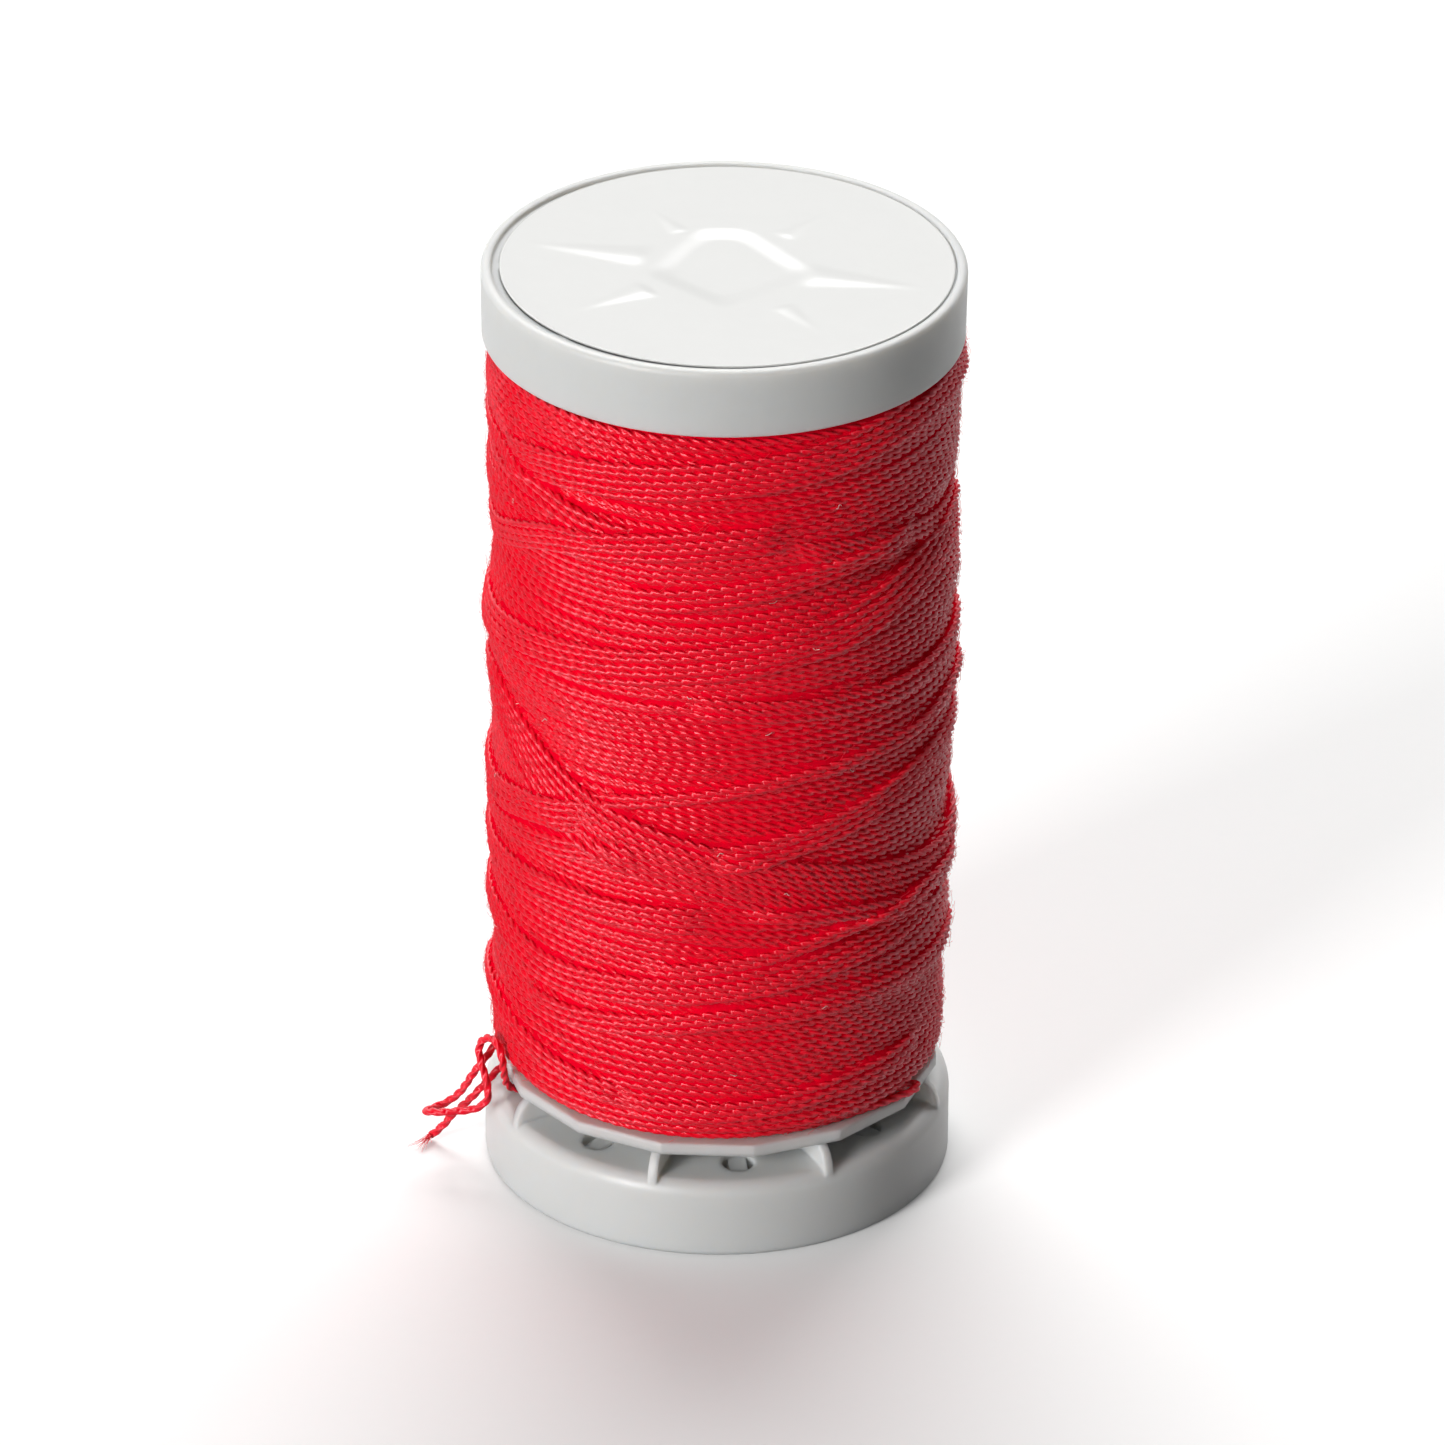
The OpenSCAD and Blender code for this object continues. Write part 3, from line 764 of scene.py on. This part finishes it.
class SPOOL_OT_stage(Operator):
    """Set up the camera, the lamps and the floor"""

    bl_idname = "spool.stage"
    bl_label = "Stage"

    # Lamps that face the camera's target: name, width and height in metres, azimuth and elevation in degrees,
    # and distance in metres
    LAMPS = (("key_lamp", 0.4, 0.7, -41, 16, 1.4), ("back_lamp", 1.3, 0.9, 180, 50, 1.6))
    # Where along +Y the view direction starts to meet the backdrop, and where it meets all of it
    BACKDROP_FROM, BACKDROP_FULL = -0.1, 0.35

    def execute(self, context):
        scene = context.scene
        scene.view_settings.view_transform = "Standard"
        self.add_camera(scene, scene.spool_stage)
        self.add_lamps(scene.spool_stage)
        self.add_world(scene, scene.spool_stage)
        self.add_floor()
        return {"FINISHED"}

    def add_camera(self, scene, s):
        """The camera, aimed at its target."""
        forward = Vector((0, math.cos(s.elevation), -math.sin(s.elevation)))
        camera = add_object("camera", bpy.data.cameras.new("camera"))
        camera.data.lens = s.lens
        camera.data.sensor_width = 36
        camera.data.clip_start, camera.data.clip_end = 0.01, 20
        aim = forward.to_track_quat("-Z", "Y").to_matrix() @ Matrix.Rotation(s.roll, 3, "Z")
        camera.matrix_world = Matrix.Translation(Vector(s.target) - forward * s.distance) @ aim.to_4x4()
        scene.camera = camera

    def add_lamps(self, s):
        """The lamps, each aimed at the camera's target."""
        for (name, width, height, azimuth, elevation, distance), power in zip(self.LAMPS, (s.key, s.back)):
            lamp = bpy.data.lights.new(name, "AREA")
            lamp.shape = "RECTANGLE"
            lamp.energy, lamp.size, lamp.size_y = power, width, height
            obj = add_object(name, lamp)
            e = math.radians(elevation)
            obj.location = Vector(s.target) + place(azimuth, distance * math.cos(e), distance * math.sin(e))
            obj.rotation_euler = (Vector(s.target) - obj.location).to_track_quat("-Z", "Y").to_euler()

    def add_world(self, scene, s):
        """Surroundings that look white, and give little light in front and more from the backdrop."""
        world = bpy.data.worlds.new("surroundings")
        world.use_nodes = True
        scene.world = world
        nodes = world.node_tree.nodes
        way = nodes.new("ShaderNodeTexCoord").outputs["Generated"]
        split = add_node(nodes, "ShaderNodeSeparateXYZ", Vector=way)
        backdrop = map_range(nodes, split.outputs["Y"], "SMOOTHSTEP", From_Min=self.BACKDROP_FROM,
                             From_Max=self.BACKDROP_FULL)
        light = map_range(nodes, backdrop, To_Min=s.world, To_Max=s.backdrop)
        strength = map_range(nodes, seen_rays(nodes, backdrop), To_Min=light, To_Max=1.0)
        set_inputs(nodes["Background"], Color=(1, 1, 1, 1), Strength=strength)

    def add_floor(self):
        """The floor, well past the edges of the picture."""
        bm = bmesh.new()
        bmesh.ops.create_grid(bm, x_segments=1, y_segments=1, size=3)
        mesh = finished_mesh("floor", bm)
        mesh.materials.append(floor_material())
        add_object("floor", mesh)


class SPOOL_OT_free_end(Operator):
    """Lay the thread's free end along its route"""

    bl_idname = "spool.free_end"
    bl_label = "Free end"

    def execute(self, context):
        settings = context.scene.spool_thread
        path = smooth_path(TAIL_ROUTE_MM, 8) * MM
        outline = thread_outline(settings)
        tilts = twist_along(path, settings.lay)
        mesh = swept_mesh("thread_free_end", [(path, tilts, np.ones(len(path)))], outline, "MINIMUM")
        bpy.data.objects.remove(outline)
        tail = link_piece(mesh, thread_material(), ("thread_tail",))
        fray = self.fray(path)
        return {"FINISHED"}

    def fray(self, path, count=40, radius=0.022 * MM, floor_gap=0.04 * MM):
        """Loose fibres at the cut end, which fan out and stay off the floor."""
        rng = random.Random(3)
        way = Vector(path[-1] - path[-6]).normalized()
        fan = Vector((-0.55, -0.8, -0.12)).normalized()
        across = fan.cross(Vector((0, 0, 1))).normalized()
        curve = space_curve("frayed_tip")
        curve.bevel_depth = radius
        curve.bevel_resolution = 0
        for _ in range(count):
            spline = curve.splines.new("POLY")
            spline.points.add(4)
            start = Vector(path[-1]) - way * 0.3 * MM + across * rng.uniform(-0.15, 0.15) * MM
            start.z += rng.uniform(-0.1, 0.12) * MM
            drift = across * rng.gauss(0, 0.2) + Vector((0, 0, rng.gauss(0, 0.08)))
            length = rng.uniform(0.5, 1.9) * MM
            for i, point in enumerate(spline.points):
                t = i / 4
                p = start + way.lerp(fan, min(1, 2 * t)) * length * t + drift * length * t * t
                p.z = max(p.z, floor_gap)
                point.co = (*p, 1)
                point.radius = 1 - 0.7 * t
        return link_piece(curve_mesh(curve), thread_material())


class SPOOL_OT_winding(Operator):
    """Wind the thread on the barrel, turn by turn"""

    bl_idname = "spool.winding"
    bl_label = "Winding"

    def execute(self, context):
        settings = context.scene.spool_thread
        runs, package = wind(settings)
        outline = thread_outline(settings)
        groups, count = [[]], 0
        for run in runs:
            if count + len(run[0]) > PIECE_SAMPLES:
                groups.append([])
                count = 0
            groups[-1].append(run)
            count += len(run[0])
        for number, group in enumerate(groups, 1):
            mesh = swept_mesh(f"wound_turns_{number}", group, outline, "Z_UP")
            replaced = ("thread_package", "outer_turns") if number == 1 else ()
            link_piece(mesh, thread_material(), replaced)
        bpy.data.objects.remove(outline)
        self.core(package, settings)
        self.fibres(package, settings)
        return {"FINISHED"}

    def core(self, package, settings, rows=190, start_r=12):
        """Inner turns, seen only at the bottom of the gaps: a turned solid, whose outer wall then follows the
        wound surface."""
        bed = package.bed(settings.bed / MM)
        heights = np.linspace(PACKAGE_LOW.z / MM, PACKAGE_HIGH.z / MM, rows)
        chain = [(BARREL_R_MM, heights[0]), *((start_r, z) for z in heights), (BARREL_R_MM, heights[-1])]
        bm = turned([(r * MM, z * MM) for r, z in chain], TURN_STEPS, True)
        for vert in bm.verts:
            if math.hypot(vert.co.x, vert.co.y) > (BARREL_R_MM + start_r) / 2 * MM:
                azimuth = math.degrees(math.atan2(vert.co.x, -vert.co.y))
                row = round((vert.co.z / MM - GRID_LOW_MM) / CELL_MM)
                vert.co = place(azimuth, bed[(round(azimuth) + 180) % TURN_STEPS, row] * MM, vert.co.z)
        bmesh.ops.recalc_face_normals(bm, faces=bm.faces)
        link_piece(finished_mesh("inner_turns", bm), inner_material())

    def fibres(self, package, settings):
        """Stray fibres that stand off the thread, in two pieces, and pale lint caught on it."""
        rng = random.Random(11)
        low, high = PACKAGE_LOW.z / MM + 0.6, PACKAGE_HIGH.z / MM - 0.4
        material = fibre_material()
        for number in (1, 2):
            curls = []
            for _ in range(settings.fibres // 2):
                azimuth, z = rng.uniform(-180, 180), rng.uniform(low, high)
                length, rise = rng.uniform(0.3, 1.1), rng.uniform(0.03, 0.2)
                curls.append(self.curl(package, azimuth, z, length, rise, 3, rng))
            self.link_curls(f"stray_fibres_{number}", curls, 0.011 * MM, material)
        curls = []
        for azimuth, z in LINT:
            curls.append(self.curl(package, azimuth, z, rng.uniform(0.25, 0.6), 0.1, 6, rng))
        # More lint at random, at the back
        for _ in range(30):
            curls.append(self.curl(package, rng.uniform(60, 300), rng.uniform(low, high), 0.4, 0.1, 6, rng))
        self.link_curls("pale_lint", curls, 0.025 * MM, lint_material())

    def curl(self, package, azimuth, z, length, rise, steps, rng, root=0.03, waver=0.04):
        """Points of one curled fibre, with its root that far under the surface. It rises to its full height,
        then runs level, and wavers. Lengths are in millimetres."""
        row = int((z - GRID_LOW_MM) / CELL_MM)
        r = package.surface[(int(azimuth) + 180) % TURN_STEPS, row] - root
        climb, bend, turn = rng.gauss(0, 0.35), rng.uniform(-0.14, 0.14), rng.uniform(2, 5)
        way = rng.choice((-1, 1))
        points = []
        for i in range(steps + 1):
            t = i / steps
            up = z + climb * length * t + bend * math.sin(turn * t)
            out = r + rise * math.sin(min(1.9 * t, 1.6)) + waver * math.sin(2 * turn * t)
            points.append(place(azimuth + way * math.degrees(length * t / r), out * MM, up * MM))
        return points

    def link_curls(self, name, curls, radius, material):
        """One piece of all the curls, which have three sides."""
        corners = [2 * math.pi * i / 3 for i in range(3)]
        outline = closed_outline("ring", [(radius * math.cos(a), radius * math.sin(a)) for a in corners])
        curve = space_curve(name, outline)
        for points in curls:
            spline = curve.splines.new("POLY")
            spline.points.add(len(points) - 1)
            for target, point in zip(spline.points, points):
                target.co = (*point, 1)
        mesh = curve_mesh(curve)
        bpy.data.objects.remove(outline)
        link_piece(mesh, material)


class SPOOL_OT_label(Operator):
    """Press the sticker into the top flange"""

    bl_idname = "spool.label"
    bl_label = "Label"

    # Rings and segments of its mesh, which is fine enough to hold the ridges
    RINGS, SEGMENTS = 120, 300
    THICKNESS = 0.1 * MM
    # Corners of the crease round the hollow: azimuth in degrees and radius in millimetres
    CREASE = ((-162, 5.2), (-78, 4.7), (0, 5.5), (82, 5.4), (165, 5.2))
    # Ridges that fade outwards: azimuth, radii between which they run, half width at the hollow, and share of
    # the fold height
    RIDGES = ((-104, 5.1, 12.3, 1.6, 1.0), (-55, 5.6, 10.6, 1.3, 0.9), (77, 5.2, 12.4, 1.7, 1.0),
              (33, 6.4, 10.6, 0.9, 0.45), (-150, 5.4, 9.0, 0.8, 0.4), (140, 5.5, 9.5, 0.9, 0.5))
    # Rounding where two sides of the crease meet, how far inside the crease the hollow starts and is at its
    # depth, and how far the label sinks before it rests on the flange round the bore's mouth, in millimetres
    ROUNDING, SLOPE, REST = 0.35, (-0.2, 1.3), 0.09
    # Where a ridge starts to fade into the hollow and where it ends, as shares of its length from the outside
    ROOT = (0.96, 1.12)

    def execute(self, context):
        s = context.scene.spool_label
        outer = (LABEL_HIGH.x - LABEL_LOW.x) / 2
        chain = [(outer * i / self.RINGS, LABEL_HIGH.z) for i in range(self.RINGS + 1)]
        bm = turned(chain, self.SEGMENTS, False)
        bmesh.ops.translate(bm, verts=bm.verts, vec=s.shift)
        crease = [place(azimuth, radius, 0) for azimuth, radius in self.CREASE]
        for vert in bm.verts:
            vert.co.z += self.height(vert.co.x / MM, vert.co.y / MM, crease, s) * MM
        bmesh.ops.recalc_face_normals(bm, faces=bm.faces)
        if sum(f.normal.z for f in bm.faces) < 0:
            bmesh.ops.reverse_faces(bm, faces=bm.faces)
        bmesh.ops.solidify(bm, geom=bm.faces, thickness=self.THICKNESS)
        link_piece(finished_mesh("round_label", bm), label_material(), ("top_label",))
        return {"FINISHED"}

    def height(self, x, y, crease, s):
        """Height of the label's face above its seat, in millimetres, at a place in millimetres."""
        radius = math.hypot(x, y)
        ways = [((b - a).normalized(), a) for a, b in zip(crease, crease[1:] + crease[:1])]
        past = [way.y * (x - a.x) - way.x * (y - a.y) for way, a in ways]
        inside = -self.ROUNDING * math.log(sum(math.exp(side / self.ROUNDING) for side in past))
        level = -s.dent / MM * float(smoothstep(*self.SLOPE, inside))
        if radius > s.mouth_r / MM:
            level = max(level, -self.REST)
        for azimuth, start, end, width, share in self.RIDGES:
            a = math.radians(azimuth)
            along, away = x * math.sin(a) - y * math.cos(a), abs(x * math.cos(a) + y * math.sin(a))
            left = (end - along) / (end - start)
            if 0 < left < self.ROOT[1] and away < width * left:
                crest = left ** 1.2 * math.cos(math.pi / 2 * away / (width * left)) ** 2
                level += s.fold / MM * share * crest * float(1 - smoothstep(*self.ROOT, left))
        return level


class SPOOL_OT_mouldings(Operator):
    """Finish the two white mouldings"""

    bl_idname = "spool.mouldings"
    bl_label = "Mouldings"

    def execute(self, context):
        settings = context.scene.spool_plastic
        # The locking base takes its own lighter colour, which is painted light
        for name, color in (("spool_body", settings.color), ("locking_base", settings.base_color_painted_light)):
            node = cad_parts[name]
            node.data.materials.clear()
            node.data.materials.append(plastic_material("white_" + name, tuple(color)))
        return {"FINISHED"}


class SPOOL_PT_panel(Panel):
    """Sizes and colours of the spool, and the steps that build it"""

    bl_idname = "SPOOL_PT_panel"
    bl_label = "Thread Spool"
    bl_space_type = "VIEW_3D"
    bl_region_type = "UI"
    bl_category = "Spool"

    def draw(self, context):
        scene = context.scene
        for operator, group in (("spool.stage", scene.spool_stage), ("spool.free_end", scene.spool_thread),
                                ("spool.winding", None), ("spool.label", scene.spool_label),
                                ("spool.mouldings", scene.spool_plastic)):
            self.layout.operator(operator)
            if group:
                for key in group.__annotations__:
                    self.layout.prop(group, key)


GROUPS = {"spool_thread": ThreadSettings, "spool_plastic": PlasticSettings, "spool_label": LabelSettings,
          "spool_stage": StageSettings}
CLASSES = (*GROUPS.values(), SPOOL_OT_stage, SPOOL_OT_free_end, SPOOL_OT_winding, SPOOL_OT_label,
           SPOOL_OT_mouldings, SPOOL_PT_panel)


def register():
    for cls in CLASSES:
        bpy.utils.register_class(cls)
    for name, group in GROUPS.items():
        setattr(bpy.types.Scene, name, PointerProperty(type=group))


def unregister():
    for name in GROUPS:
        delattr(bpy.types.Scene, name)
    for cls in reversed(CLASSES):
        bpy.utils.unregister_class(cls)


def main():
    register()
    bpy.ops.spool.stage()
    bpy.ops.spool.free_end()
    bpy.ops.spool.winding()
    bpy.ops.spool.label()
    bpy.ops.spool.mouldings()


if __name__ == "__main__":
    main()
